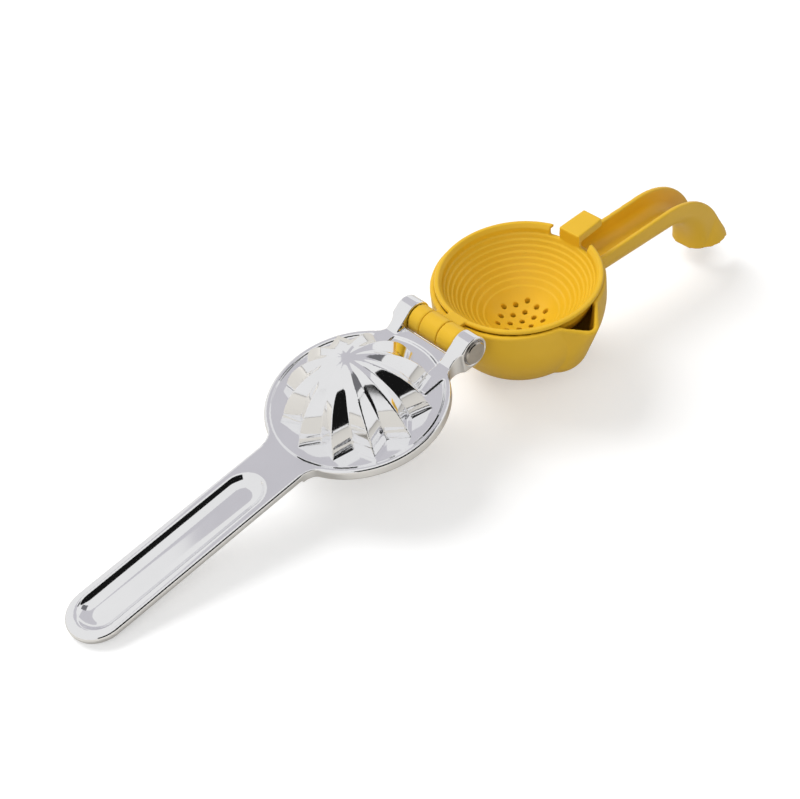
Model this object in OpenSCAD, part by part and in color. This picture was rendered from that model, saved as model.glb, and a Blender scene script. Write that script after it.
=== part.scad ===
// Hinged lemon squeezer, lying open on a table: a bowl with a bent channel handle, a stepped
// strainer cup in it, and a press arm with a fluted dome, all turning on one pin.
// The bowl has its own frame: its origin is the centre of the ball, +X runs to the channel handle
// and +Z out of the mouth. That frame is tilted on the table, handle end up.

/* [Stance] */
// Height of the ball's centre over the table
ball_height = 41.2; // [40.8:0.1:43]
// Tilt of the bowl on the table, degrees
rest_tilt = 8.43; // [6:0.01:10]
// Radius of the flat pad under the bowl
pad_radius = 12.2; // [8:0.1:14]

/* [Bowl] */
// Outside radius of the bowl
bowl_radius = 39.5; // [38.8:0.1:42]
// Wall of the bowl
bowl_wall = 2.7; // [2.2:0.1:3]
// Height of the bowl's rim over the ball's centre
rim_height = 8.5; // [7:0.1:10]
// Rounding of the rim's outer edge
rim_round = 1; // [0.4:0.1:1.2]
// How far the bowl's axis lies behind the cup's, towards the hinge
bowl_shift = 0.8; // [0:0.1:0.9]
// Half width of the finger gap in the bowl's rim, behind the tab
rim_gap_half = 13.5; // [12:0.5:15]
// Depth of that gap
rim_gap_depth = 5; // [3:0.5:7]

/* [Spout] */
// Reach of the spout's lip outside the bowl
spout_out = 7.1; // [5:0.1:9]
// Shift of the spout along the handle direction
spout_shift = -1.5; // [-3:0.1:2]
// Half width of the spout where it leaves the rim
spout_half = 12.4; // [10:0.1:14]
// Rounding of the spout's nose, outside
spout_nose = 3.2; // [2.8:0.1:5]
// Lean of the spout's keel from the bowl's axis, degrees
keel_lean = 24; // [18:0.5:28]
// Radius of the spout's belly
belly_radius = 15; // [13:0.1:17]
// How far the belly stands out of the ball
belly_swell = 2.6; // [1.5:0.1:3.5]
// Angle of the belly under the ball's equator, degrees
belly_angle = 33; // [28:0.5:38]
// Wall of the spout
spout_wall = 2.4; // [1.8:0.1:2.6]
// Height of the lip's tip over the ball's centre
lip_height = 4.2; // [2:0.1:6]
// Distance inside the bowl's outer face where the lip starts to dip
lip_inset = 2.2; // [1:0.1:3]

/* [Channel handle] */
// Width of the channel handle
handle_width = 21; // [18:0.5:23]
// Wall of the channel handle
handle_wall = 2.4; // [1.8:0.1:3]
// Rounding of the channel's outer corners
channel_round = 7.5; // [4:0.1:8.5]
// Distance from the bowl's axis where the handle's heights are taken
handle_root = 46; // [44:1:48]
// Height of the side walls there, against the ball's centre
handle_top = -4.38; // [-6:0.1:-3]
// Height of the underside there, against the ball's centre
handle_under = -16.41; // [-18:0.1:-15]
// Slope of the side walls' top, degrees
top_slope = 4.19; // [3:0.1:5]
// Slope of the underside, degrees
under_slope = 6.36; // [5:0.1:8]
// Where the top starts to bend down
top_bend_start = 92; // [88:0.5:96]
// Radius of the top's bend
top_bend = 45.2; // [42:0.5:48]
// Slope of the top after its bend, degrees
top_end_slope = 63.4; // [60:0.5:66]
// Where the underside starts to bend down
under_bend_start = 94.9; // [93:0.1:96]
// Radius of the underside's bend
under_bend = 23; // [21:0.5:24]
// Depth of the foot's mouth under the ball's centre
foot_level = 48.5; // [44:0.5:50]
// Distance of the foot's centre from the bowl's axis
foot_centre = 129.2; // [127:0.2:131]
// Radius of the foot's mouth
foot_radius = 13.9; // [12.5:0.1:15]
// Height over which the foot narrows to the handle
foot_flare = 14; // [11:0.5:17]

/* [Strainer] */
// Gap under the strainer's flange
seat_gap = 0.2; // [0.1:0.05:0.3]
// Thickness of the strainer's flange
flange_thickness = 1.8; // [1.4:0.1:2.4]
// How far the flange stays inside the bowl's outer face
flange_inset = 1.5; // [1:0.1:2]
// Wall of the strainer under its flange
mouth_wall = 1.6; // [1.4:0.1:1.9]
// Slope of the mouth's edge: width at the flange's top
mouth_flare = 2; // [1:0.1:2.4]
// Gap between the strainer's body and the bowl
strainer_clearance = 1.2; // [1.1:0.1:1.4]
// Width of the ledge over the first inside step
step_inset = 0.6; // [0.5:0.1:1.2]
// Depth of the first inside step under the flange
step_start = 4.3; // [3.8:0.1:5]
// Height of one inside step
step_height = 2.2; // [2:0.05:2.3]
// Number of inside steps
step_count = 9; // [7:1:9]
// Width of the ledge at each step
step_ledge = 0.6; // [0.3:0.1:0.8]
// Depth under the first step at which the curve of the steps closes
step_fall = 23.7; // [23:0.1:25]
// Depth of the cup at its centre, under the flange
cup_depth = 28.8; // [28.3:0.1:29.5]
// Floor of the strainer
strainer_floor = 2.4; // [2:0.1:3]
// Height over which the strainer's outside curves in
strainer_bulge = 24.9; // [23:0.1:26]
// Diameter of a drain hole
hole_diameter = 2.4; // [2:0.1:3.6]
// Distance between drain holes
hole_pitch = 5.7; // [5:0.1:6]
// Half width of the notch in the rim
notch_half = 11.5; // [9:0.5:12]

/* [Lift tab] */
// Length of the tab
tab_length = 16.6; // [12:0.2:18]
// Height of the tab over the flange
tab_rise = 2.5; // [1.5:0.1:3]
// Width of the tab at the cup
tab_front = 12; // [10:0.5:13]
// Width of the tab at its end
tab_back = 11; // [8:0.5:12]
// Bevel of the tab's upper edges
tab_bevel = 0.9; // [0.4:0.1:1.2]

/* [Hinge] */
// Distance of the pin outside the bowl
pin_outside = 9.8; // [9.3:0.1:11.5]
// Height of the pin over the strainer's flange
pin_over_flange = 1.4; // [1.2:0.1:2]
// Diameter of the pin
pin_diameter = 6; // [5:0.1:7]
// Radial clearance of the turning fits
running_clearance = 0.06; // [0.02:0.01:0.1]
// Radial clearance of the pin in the bowl's knuckles
push_clearance = 0.02; // [0.01:0.01:0.05]
// Radius of the knuckles
knuckle_radius = 6.5; // [6:0.1:6.8]
// Half width of the knuckle barrel
barrel_half = 13.4; // [13:0.1:13.4]
// Near seam of the strainer's knuckle
seam_near = -4; // [-6:0.1:-2]
// Far seam of the strainer's knuckle
seam_far = 6.4; // [4:0.1:8]
// Gap in each seam
seam_gap = 0.3; // [0.2:0.05:0.4]
// Bottom of the knuckles' webs on the bowl, below the ball's centre
web_drop = 2; // [0:0.5:5]

/* [Press plate] */
// Radius of the plate's upper edge
plate_radius = 39; // [38:0.1:40]
// Amount by which the plate's side stands out
plate_swell = 0.9; // [0.3:0.1:1.2]
// Thickness of the plate
plate_thickness = 5.2; // [4.6:0.1:6]
// Height of the plate's top over the pin's centre
plate_top = 0.34; // [0:0.02:0.4]
// Width of the raised edge round the recess
plate_lip = 1.8; // [1.6:0.1:2.5]
// Depth of the recess
recess_depth = 0.9; // [0.5:0.1:1.4]

/* [Dome] */
// Height of the dome over the plate
dome_height = 25; // [23:0.5:26]
// Height of the star-shaped plinth over the plate
plinth_height = 2.5; // [1.5:0.1:3.5]
// Gap between the plinth's points and the strainer's first step, when closed
plinth_gap = 1.3; // [1:0.1:1.6]
// How far the dome's arch stays inside the plinth's points
arch_inset = 1.4; // [1.1:0.1:2.1]
// Distance of the arch's centre behind the axis
arch_offset = 2.3; // [2.1:0.1:3]
// How far the hollow under the dome stays inside the arch
hollow_inset = 5.2; // [4.7:0.1:7.5]
// Metal over the hollow at the dome's tip
dome_wall = 3.2; // [2.6:0.1:5]

/* [Press arm] */
// Length from the pin to the arm's tip
arm_length = 200; // [190:1:210]
// Width of the arm
arm_width = 26; // [24:0.5:28]
// Thickness of the arm
arm_thickness = 4.7; // [4.4:0.1:5.2]
// Rounding of the arm's lower edges
arm_round = 2.5; // [1.5:0.1:2.6]
// Rounding of the arm's upper edges
arm_edge = 0.7; // [0.3:0.1:1]
// Fillet between the arm and the plate
root_fillet = 8; // [6:0.5:12]
// Distance from the pin to the near end of the finger dish
dish_start = 103.8; // [100:0.2:110]
// Distance from the dish's far end to the arm's tip
dish_margin = 5; // [4:0.2:8]
// Width of the finger dish
dish_width = 19; // [16:0.5:20]
// Depth of the finger dish
dish_depth = 3.2; // [2:0.1:3.3]
// Radius of the dish's sides
dish_round = 4.5; // [4:0.1:6]

/* [Ears] */
// Gap between an ear and the knuckle barrel
ear_gap = 0.2; // [0.1:0.05:0.4]
// Width of an ear
ear_width = 7.9; // [7:0.1:9]
// Radius of the ear's boss
boss_radius = 7.3; // [7:0.1:7.6]
// Distance from the pin to the straight edge between the ears
bridge_edge = 7.8; // [7.4:0.1:8.4]
// Depth of the waist in an ear's outer side, next to the plate
waist_depth = 2; // [0.5:0.1:2.2]
// Radius of that waist, which is also the fillet between the ear and the plate
ear_fillet = 6.5; // [5:0.5:6.5]
// Distance from the pin to the foot of the ear's upper slope
ear_slope_end = 13.4; // [12.6:0.1:13.6]
// Distance from the pin to the middle of the ear's upper slope
ear_slope_mid = 10; // [9:0.1:11]
// Height of that middle over the pin's centre
ear_slope_rise = 2.3; // [1.8:0.1:2.6]

/* [Pin fittings] */
// Radius of the pin's head
head_radius = 5.2; // [4.8:0.1:5.4]
// Thickness of the pin's head
head_thickness = 1.3; // [1:0.1:1.6]
// Radius of the counterbore in the near ear
counterbore_radius = 5.9; // [5.8:0.1:6.2]
// Depth of the counterbore
counterbore_depth = 0.9; // [0.7:0.1:1.2]
// Outside radius of the washer under the head
washer_radius = 5.6; // [5.4:0.1:5.7]
// Thickness of the washer
washer_thickness = 0.5; // [0.4:0.05:0.6]
// Side play of the pin's fittings
side_play = 0.1; // [0.05:0.05:0.2]
// Outside radius of the ring at the pin's far end
ring_radius = 5; // [4.6:0.1:6]
// Thickness of that ring
ring_thickness = 1.2; // [0.8:0.1:1.6]
// Length of the pin beyond the ring
pin_stub = 0.6; // [0.4:0.1:1]
// Bevel of the pin's ends
pin_bevel = 0.4; // [0.2:0.1:0.6]

/* [Hidden] */
$fn = 96;
yellow = [0.93, 0.66, 0.04];
chrome = [0.78, 0.79, 0.8];
steel = [0.62, 0.62, 0.64];
// Overlap with which joined shapes are fused, reach of the cutting shapes, and lead-in of a profile
fuse = 1;
far = 60;
lead = 20;
// Angle at which the channel's bend ends, under the foot's mouth, and inset of the bell's neck
run_turn = 105;
neck_inset = 0.4;
// Steps of a short arc and of a long one
short_arc = 6;
long_arc = 20;
hull_steps = 32;
// Corners of the hexagon that both the drain holes and the dome's flutes are drawn on
corners = 6;
hexagon_angle = 360 / corners;
hole_rings = 2;
flutes = 2 * corners;
slabs = corners / 2;
// Angle where the ear's slope leaves its boss, and overlap of the dome's arches with the plinth
boss_blend = 50;
plinth_lap = 0.25;

cavity_radius = bowl_radius - bowl_wall;
spout_reach = bowl_radius + spout_out;
lip_start = bowl_radius - lip_inset;
flange_bottom = rim_height + seat_gap;
flange_top = flange_bottom + flange_thickness;
pin_height = flange_top + pin_over_flange;
pin_back = bowl_radius + pin_outside;
pin_radius = pin_diameter / 2;
body_radius = cavity_radius - strainer_clearance;
flange_radius = bowl_radius - flange_inset;
mouth_radius = body_radius - mouth_wall;
step_radius = mouth_radius - step_inset;
cup_bottom = flange_top - cup_depth;
body_bottom = cup_bottom - strainer_floor;
ear_inner = barrel_half + ear_gap;
ear_outer = ear_inner + ear_width;
waist_half = ear_outer - waist_depth;
plate_bottom = plate_top - plate_thickness;
plate_edge = plate_radius + plate_swell / 2;
recess_radius = plate_radius - plate_lip;
plinth_radius = step_radius - plinth_gap;
arch_radius = plinth_radius - arch_inset;
hollow_radius = arch_radius - hollow_inset;
arm_bottom = plate_top - arm_thickness;
arm_half = arm_width / 2;
dish_half = dish_width / 2;
handle_half = handle_width / 2;
bell_neck = handle_half - neck_inset;
flare_step = foot_radius - bell_neck;
flare_radius = (pow(foot_flare, 2) + pow(flare_step, 2)) / (2 * flare_step);
scoop_radius = (pow(dish_half, 2) + pow(dish_depth, 2)) / (2 * dish_depth);
counterbore_floor = ear_outer - counterbore_depth;
head_seat = counterbore_floor + side_play + washer_thickness;
ring_seat = ear_outer + side_play;

// The arm lies on the table with the rounded lower edge of its tip, and that gives its slope.
pin_over_table = ball_height - pin_back * sin(rest_tilt) + pin_height * cos(rest_tilt);
tip_out = arm_length - arm_round;
tip_down = -(arm_bottom + arm_round);
arm_slope = asin((pin_over_table - arm_round) / norm([tip_out, tip_down])) - atan(tip_down / tip_out);
arm_drop = arm_slope - rest_tilt;

// Points of an arc. Angles run clockwise from straight up.
function arc(centre, r, from, to, n) =
    [for (i = [0:n]) let (a = from + (to - from) * i / n) centre + r * [sin(a), cos(a)]];

// A line that slopes down from p, bends down round a radius r from x on, and runs on straight.
function bent(p, slope, x, r, end_slope, run) =
    let (knee = p + (x - p[0]) * [1, -tan(slope)],
         hub = knee - r * [sin(slope), cos(slope)],
         last = hub + r * [sin(end_slope), cos(end_slope)])
    concat([p - lead * [cos(slope), -sin(slope)]], arc(hub, r, slope, end_slope, long_arc),
           [last + run * [cos(end_slope), -sin(end_slope)]]);

module on_bowl() { translate([0, 0, ball_height]) rotate([0, -rest_tilt, 0]) children(); }

module on_pin() { on_bowl() translate([-pin_back, 0, pin_height]) children(); }

// The press arm's frame: +X from the pin to the arm's tip, +Z out of the plate.
module on_press() { on_pin() rotate([0, -arm_drop, 0]) rotate([0, 0, 180]) children(); }

// A cylinder along Y.
module axle(y0, y1, r) { translate([0, y1, 0]) rotate([90, 0, 0]) cylinder(r = r, h = y1 - y0); }

// A shape drawn in X and Z, from y0 to y1.
module side_slab(y0, y1) {
    translate([0, y1, 0]) rotate([90, 0, 0]) linear_extrude(y1 - y0) children();
}

// A shape drawn in Y and Z, from x0 to x1.
module cross_slab(x0, x1) {
    translate([x0, 0, 0]) rotate([90, 0, 90]) linear_extrude(x1 - x0) children();
}

// A flat shape in plan, from z0 to z1.
module plan_slab(z0, z1) { translate([0, 0, z0]) linear_extrude(z1 - z0) children(); }

module outer_ball() {
    rotate_extrude() intersection() {
        translate([0, -bowl_radius]) square([bowl_radius, bowl_radius + rim_height]);
        union() {
            circle(r = bowl_radius);
            square([bowl_radius - rim_round, rim_height]);
            square([bowl_radius, rim_height - rim_round]);
            translate([bowl_radius - rim_round, rim_height - rim_round]) circle(r = rim_round);
        }
    }
}

module cavity() {
    rotate_extrude() intersection() {
        translate([0, -cavity_radius]) square([cavity_radius, cavity_radius + rim_height + fuse]);
        union() {
            circle(r = cavity_radius);
            square([cavity_radius, rim_height + fuse]);
        }
    }
}

module pad() {
    rotate([0, rest_tilt, 0]) translate([0, 0, -ball_height])
        cylinder(r = pad_radius, h = ball_height - cavity_radius + fuse);
}

// The spout without its hollow, moved in by t and standing over the rim by rise: it spans from the
// rim and a narrow nose down to a round belly on the ball.
module spout_form(t, rise) {
    nose_reach = spout_reach + (rim_height - lip_height) * tan(keel_lean) - spout_nose;
    belly_reach = bowl_radius + belly_swell - belly_radius;
    hull() {
        translate([spout_shift, -nose_reach, rim_height - fuse])
            cylinder(r = spout_nose - t, h = fuse + rise, $fn = hull_steps);
        translate([spout_shift - spout_half + t, -lip_start, rim_height - fuse])
            cube([2 * (spout_half - t), bowl_wall, fuse + rise]);
        rotate([belly_angle, 0, 0]) translate([spout_shift, -belly_reach, 0])
            sphere(r = belly_radius - t, $fn = hull_steps);
    }
}

// What is cut off the top of the spout, so that its lip dips to the tip.
module lip_cut() {
    rotate([0, 0, -90]) side_slab(-far / 2, far / 2)
        polygon([[lip_start, rim_height], [spout_reach, lip_height],
                 [far, lip_height - (far - spout_reach) * (rim_height - lip_height)
                       / (spout_reach - lip_start)],
                 [far, far], [lip_start - far / 2, far], [lip_start - far / 2, rim_height]]);
}

// All that lies under the top of the channel's side walls, seen from the side.
module under_walls() {
    polygon(concat(bent([handle_root, handle_top], top_slope, top_bend_start, top_bend,
                        top_end_slope, far),
                   [[0, -2 * far]]));
}

// The channel's section, moved in by t: its sides are parallel and its floor corners round.
module channel_section(t) {
    corner = channel_round - t;
    flat = handle_half - channel_round;
    for (side = [-flat, flat]) translate([side, channel_round]) circle(r = corner);
    translate([-flat, t]) square([2 * flat, corner]);
    translate([-flat - corner, channel_round]) square([2 * (flat + corner), far]);
}

// That section carried along the handle's floor: a straight run, then the bend down to the foot.
module channel_run(t) {
    knee = [under_bend_start, handle_under - (under_bend_start - handle_root) * tan(under_slope)];
    translate([knee[0], 0, knee[1]]) rotate([0, under_slope, 0]) {
        cross_slab(-2 * far, 0) channel_section(t);
        translate([0, 0, -under_bend]) rotate([-90, -90, 0])
            rotate_extrude(angle = run_turn - under_slope)
                translate([under_bend, 0]) rotate([0, 0, -90]) channel_section(t);
    }
}

// The foot's bell, moved in by t: it spreads from inside the channel's walls to the foot's mouth.
module foot_bell(t) {
    waist = foot_flare - foot_level;
    swing = asin(foot_flare / flare_radius);
    translate([foot_centre, 0, 0]) rotate_extrude()
        polygon(concat([[0, waist]],
                       arc([bell_neck + flare_radius, waist], flare_radius + t, 270,
                           270 - swing, long_arc),
                       [[foot_radius - t, -far], [0, -far]]));
}

module channel_handle() {
    intersection() {
        side_slab(-far, far) under_walls();
        translate([bowl_radius / 2, -far, -foot_level]) cube([2 * far, 2 * far, far]);
        difference() {
            union() {
                channel_run(0);
                foot_bell(0);
            }
            channel_run(handle_wall);
            foot_bell(handle_wall);
        }
    }
}

module knuckle(y0, y1) {
    translate([-pin_back, 0, pin_height]) axle(y0, y1, knuckle_radius);
}

module bowl_web(y0, y1) {
    side_slab(y0, y1)
        polygon([[-pin_back, pin_height], [-pin_back, pin_height - knuckle_radius],
                 [-cavity_radius, -web_drop], [-cavity_radius, rim_height],
                 [knuckle_radius - fuse - pin_back, rim_height]]);
}

module bowl() {
    color(yellow) on_bowl() difference() {
        union() {
            translate([-bowl_shift, 0, 0]) outer_ball();
            pad();
            difference() {
                spout_form(0, 0);
                lip_cut();
            }
            channel_handle();
            knuckle(-barrel_half, seam_near - seam_gap / 2);
            bowl_web(-barrel_half, seam_near - seam_gap / 2);
            knuckle(seam_far + seam_gap / 2, barrel_half);
            bowl_web(seam_far + seam_gap / 2, barrel_half);
        }
        translate([-bowl_shift, 0, 0]) cavity();
        translate([0, -rim_gap_half, rim_height - rim_gap_depth])
            cube([far, 2 * rim_gap_half, far]);
        spout_form(spout_wall, fuse);
        translate([-pin_back, 0, pin_height])
            axle(-barrel_half - fuse, barrel_half + fuse, pin_radius + push_clearance);
    }
}

// Radius of an inside step: the steps follow a paraboloid down to the cup's bottom.
function step_r(i) = step_radius * sqrt(1 - i * step_height / step_fall);
function step_z(i) = flange_top - step_start - i * step_height;

module cup_inside() {
    last = step_count - 1;
    sag = step_z(last) - cup_bottom;
    cap = (pow(step_r(last), 2) + pow(sag, 2)) / (2 * sag);
    half = asin(step_r(last) / cap);
    stairs = [for (i = [0:last - 1])
                  each [[step_r(i), step_z(i)], [step_r(i + 1) + step_ledge, step_z(i + 1)]]];
    rotate_extrude()
        polygon(concat([[0, flange_top + fuse], [mouth_radius + mouth_flare, flange_top + fuse],
                        [mouth_radius + mouth_flare, flange_top],
                        [mouth_radius + mouth_flare / 4, flange_bottom],
                        [mouth_radius, step_z(0)]],
                       stairs, arc([0, cup_bottom + cap], cap, 180 - half, 180, long_arc)));
}

module strainer_outside() {
    shell = (pow(body_radius, 2) + pow(strainer_bulge, 2)) / (2 * strainer_bulge);
    shoulder = body_bottom + strainer_bulge;
    rotate_extrude() union() {
        intersection() {
            translate([0, body_bottom + shell]) circle(r = shell);
            translate([0, body_bottom]) square([body_radius, strainer_bulge]);
        }
        translate([0, shoulder]) square([body_radius, flange_top - shoulder]);
        translate([0, flange_bottom]) square([flange_radius, flange_thickness]);
    }
}

module drain_holes() {
    for (i = [-hole_rings:hole_rings])
        for (j = [max(-hole_rings, -hole_rings - i):min(hole_rings, hole_rings - i)])
            rotate([0, 0, hexagon_angle / 2])
                translate([hole_pitch * (i + j / 2), hole_pitch * j * sin(hexagon_angle),
                           body_bottom - fuse])
                    cylinder(d = hole_diameter, h = cup_depth, $fn = hull_steps);
}

module tab() {
    top = flange_top + tab_rise;
    last = step_radius + tab_length;
    intersection() {
        plan_slab(flange_bottom, top)
            polygon([[step_radius, -tab_front / 2], [last, -tab_back / 2],
                     [last, tab_back / 2], [step_radius, tab_front / 2]]);
        side_slab(-tab_front, tab_front)
            polygon([[step_radius, flange_bottom], [last, flange_bottom],
                     [last, top - tab_bevel], [last - tab_bevel, top],
                     [step_radius + tab_bevel, top], [step_radius, top - tab_bevel]]);
    }
    intersection() {
        translate([step_radius, -tab_front / 2, step_z(0) - fuse / 2])
            cube([far, tab_front, flange_top - step_z(0)]);
        cylinder(r = body_radius, h = far);
    }
}

module strainer() {
    color(yellow) on_bowl() difference() {
        union() {
            difference() {
                strainer_outside();
                cup_inside();
                drain_holes();
                translate([mouth_radius / 2, -notch_half, step_z(0)])
                    cube([far, 2 * notch_half, far]);
            }
            tab();
            knuckle(seam_near + seam_gap / 2, seam_far - seam_gap / 2);
            side_slab(seam_near + seam_gap / 2, seam_far - seam_gap / 2)
                polygon([[-pin_back, pin_height], [-pin_back, flange_bottom],
                         [-body_radius, flange_bottom], [-body_radius, flange_top],
                         [knuckle_radius - pin_back, flange_top + fuse / 2]]);
        }
        translate([-pin_back, 0, pin_height])
            axle(seam_near - fuse, seam_far + fuse, pin_radius + running_clearance);
    }
}

// A bar's cross section, half of it, from the middle out, with rounded edges.
module half_section(w, top, bottom, upper, lower) {
    polygon(concat([[0, top]], arc([w - upper, top - upper], upper, 0, 90, short_arc),
                   arc([w - lower, bottom + lower], lower, 90, 180, short_arc), [[0, bottom]]));
}

module plate() {
    rotate_extrude()
        half_section(plate_radius + plate_swell, plate_top, plate_bottom, plate_swell, arm_edge);
}

// Points of a regular hexagon.
function hexagon(r, turn) =
    [for (i = [0:corners - 1]) let (a = turn + i * hexagon_angle) r * [cos(a), sin(a)]];

// A six-sided dome, as the common part of three arched slabs.
module arched_hexagon() {
    hub = plate_top + dome_height - sqrt(pow(arch_radius, 2) - pow(arch_offset, 2));
    intersection_for (i = [0:slabs - 1])
        rotate([0, 0, (i + 1 / 2) * hexagon_angle]) side_slab(-far, far) intersection() {
            translate([-arch_offset, hub]) circle(r = arch_radius);
            translate([arch_offset, hub]) circle(r = arch_radius);
            translate([-far, plate_top + plinth_height - plinth_lap]) square([2 * far, far]);
        }
}

module dome() {
    for (turn = [0, 360 / flutes]) {
        rotate([0, 0, turn]) arched_hexagon();
        plan_slab(plate_bottom + fuse, plate_top + plinth_height)
            polygon(hexagon(plinth_radius, turn));
    }
}

module dome_hollow() {
    hub = plate_top + dome_height - dome_wall - hollow_radius;
    sphere(r = hollow_radius);
    translate([0, 0, plate_bottom - fuse - hub]) cylinder(r = hollow_radius, h = hub - plate_bottom + fuse);
}

module dish_section() {
    rise = dish_round - dish_depth;
    middle = dish_half - sqrt(pow(dish_round, 2) - pow(rise, 2));
    intersection() {
        union() {
            translate([middle, rise]) circle(r = dish_round);
            translate([0, -dish_depth]) square([middle, dish_round]);
        }
        translate([0, -dish_depth]) square([dish_half, dish_depth + rise]);
    }
}

module dish() {
    near = dish_start + dish_half;
    last = arm_length - dish_margin - dish_half;
    translate([0, 0, plate_top]) {
        translate([near, 0, scoop_radius - dish_depth]) sphere(r = scoop_radius);
        translate([last, 0, 0]) rotate_extrude() dish_section();
        cross_slab(near, last) {
            dish_section();
            mirror([1, 0]) dish_section();
        }
    }
}

// Centre of the fillet between the round plate and a straight side at half width w, towards dir.
function fillet_centre(w, r, dir) =
    [dir * sqrt(pow(plate_edge + r, 2) - pow(w + r, 2)), w + r];

// That fillet in plan, with its round cut to radius cut.
module plan_fillet(w, r, dir, cut) {
    centre = fillet_centre(w, r, dir);
    difference() {
        polygon([[0, 0], centre, [centre[0], 0]]);
        translate(centre) circle(r = cut);
    }
}

module fillets(w, r, dir, bottom, cut) {
    translate([pin_back, 0, 0]) plan_slab(bottom, plate_top) {
        plan_fillet(w, r, dir, cut);
        mirror([0, 1]) plan_fillet(w, r, dir, cut);
    }
}

module arm() {
    tip = arm_length - arm_half;
    cross_slab(pin_back + plate_radius / 2, tip) {
        half_section(arm_half, plate_top, arm_bottom, arm_edge, arm_round);
        mirror([1, 0]) half_section(arm_half, plate_top, arm_bottom, arm_edge, arm_round);
    }
    translate([tip, 0, 0]) rotate_extrude()
        half_section(arm_half, plate_top, arm_bottom, arm_edge, arm_round);
}

module ear(y0, y1) {
    inner = pin_back - plate_radius / 2;
    axle(y0, y1, boss_radius);
    side_slab(y0, y1)
        polygon([[0, 0], [0, -boss_radius], [inner, plate_bottom], [inner, plate_top],
                 [ear_slope_end, plate_top], [ear_slope_mid, ear_slope_rise],
                 boss_radius * [cos(boss_blend), sin(boss_blend)]]);
}

// What is cut off the ears' outer sides.
module waists() {
    centre = fillet_centre(waist_half, ear_fillet, -1);
    for (side = [-1, 1])
        translate([pin_back + centre[0], side * centre[1], -far])
            cylinder(r = ear_fillet, h = 2 * far);
}

module ears() {
    difference() {
        union() {
            ear(ear_inner, ear_outer);
            ear(-ear_outer, -ear_inner);
        }
        waists();
    }
}

// The flat metal between the ears, and from them to the plate.
module bridge() {
    run = pin_back - plate_radius / 2 - bridge_edge;
    difference() {
        union() {
            translate([bridge_edge, -ear_outer, plate_bottom])
                cube([run, 2 * ear_outer, plate_thickness]);
            fillets(waist_half, ear_fillet, -1, plate_bottom, ear_fillet / 2);
        }
        waists();
    }
}

module press_arm() {
    color(chrome) difference() {
        on_press() difference() {
            union() {
                difference() {
                    union() {
                        translate([pin_back, 0, 0]) plate();
                        bridge();
                        fillets(arm_half, root_fillet, 1, arm_bottom, root_fillet);
                        arm();
                    }
                    translate([pin_back, 0, plate_top - recess_depth])
                        cylinder(r = recess_radius, h = plate_thickness);
                }
                ears();
                translate([pin_back, 0, 0]) dome();
            }
            translate([pin_back, 0, plate_top + dome_height - dome_wall - hollow_radius]) dome_hollow();
            dish();
            axle(-ear_inner, ear_inner, bridge_edge);
            axle(-ear_outer - fuse, ear_outer + fuse, pin_radius + running_clearance);
        }
        on_pin() axle(-ear_outer - fuse, -counterbore_floor, counterbore_radius);
    }
}

module hinge_pin() {
    color(steel) on_pin() rotate([90, 0, 0]) rotate_extrude()
        polygon([[0, head_seat + head_thickness], [head_radius - pin_bevel, head_seat + head_thickness],
                 [head_radius, head_seat + head_thickness - pin_bevel], [head_radius, head_seat],
                 [pin_radius, head_seat], [pin_radius, pin_bevel - ring_seat - ring_thickness - pin_stub],
                 [pin_radius - pin_bevel, -ring_seat - ring_thickness - pin_stub],
                 [0, -ring_seat - ring_thickness - pin_stub]]);
}

module head_washer() {
    color(steel) on_pin() difference() {
        axle(-head_seat, -head_seat + washer_thickness, washer_radius);
        axle(-head_seat - fuse, -head_seat + washer_thickness + fuse, pin_radius + push_clearance);
    }
}

module retaining_ring() {
    color(steel) on_pin() difference() {
        axle(ring_seat, ring_seat + ring_thickness, ring_radius);
        axle(ring_seat - fuse, ring_seat + ring_thickness + fuse, pin_radius - push_clearance);
    }
}

bowl();
strainer();
press_arm();
hinge_pin();
head_washer();
retaining_ring();
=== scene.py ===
"""Looks of the hinged lemon squeezer: a yellow bowl with its channel handle, a yellow stepped
strainer cup, and a chromed press arm with a fluted dome, lying open on a pale floor.

Shapes are drawn in millimetres, in the bowl's own frame or in the press arm's, and are set on the
table by those frames. A casting is cut from clean solids, then skinned and relaxed so that its
edges get the soft round of a moulding."""
import bpy
import bmesh
from math import asin, atan, cos, degrees, pi, radians, sin, sqrt, tan
from mathutils import Matrix, Vector


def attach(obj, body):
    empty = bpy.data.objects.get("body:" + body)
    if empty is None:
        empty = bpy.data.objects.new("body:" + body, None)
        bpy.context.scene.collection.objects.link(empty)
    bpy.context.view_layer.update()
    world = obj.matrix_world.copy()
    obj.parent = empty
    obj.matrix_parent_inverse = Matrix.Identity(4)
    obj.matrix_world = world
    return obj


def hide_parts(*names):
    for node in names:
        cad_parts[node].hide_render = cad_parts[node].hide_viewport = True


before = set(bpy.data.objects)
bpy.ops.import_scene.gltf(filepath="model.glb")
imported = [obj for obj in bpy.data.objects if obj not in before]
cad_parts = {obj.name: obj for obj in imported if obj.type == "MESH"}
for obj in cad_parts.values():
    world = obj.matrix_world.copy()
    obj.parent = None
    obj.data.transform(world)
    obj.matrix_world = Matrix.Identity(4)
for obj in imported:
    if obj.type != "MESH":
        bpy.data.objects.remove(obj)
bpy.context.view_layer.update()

MM = 0.001

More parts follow.
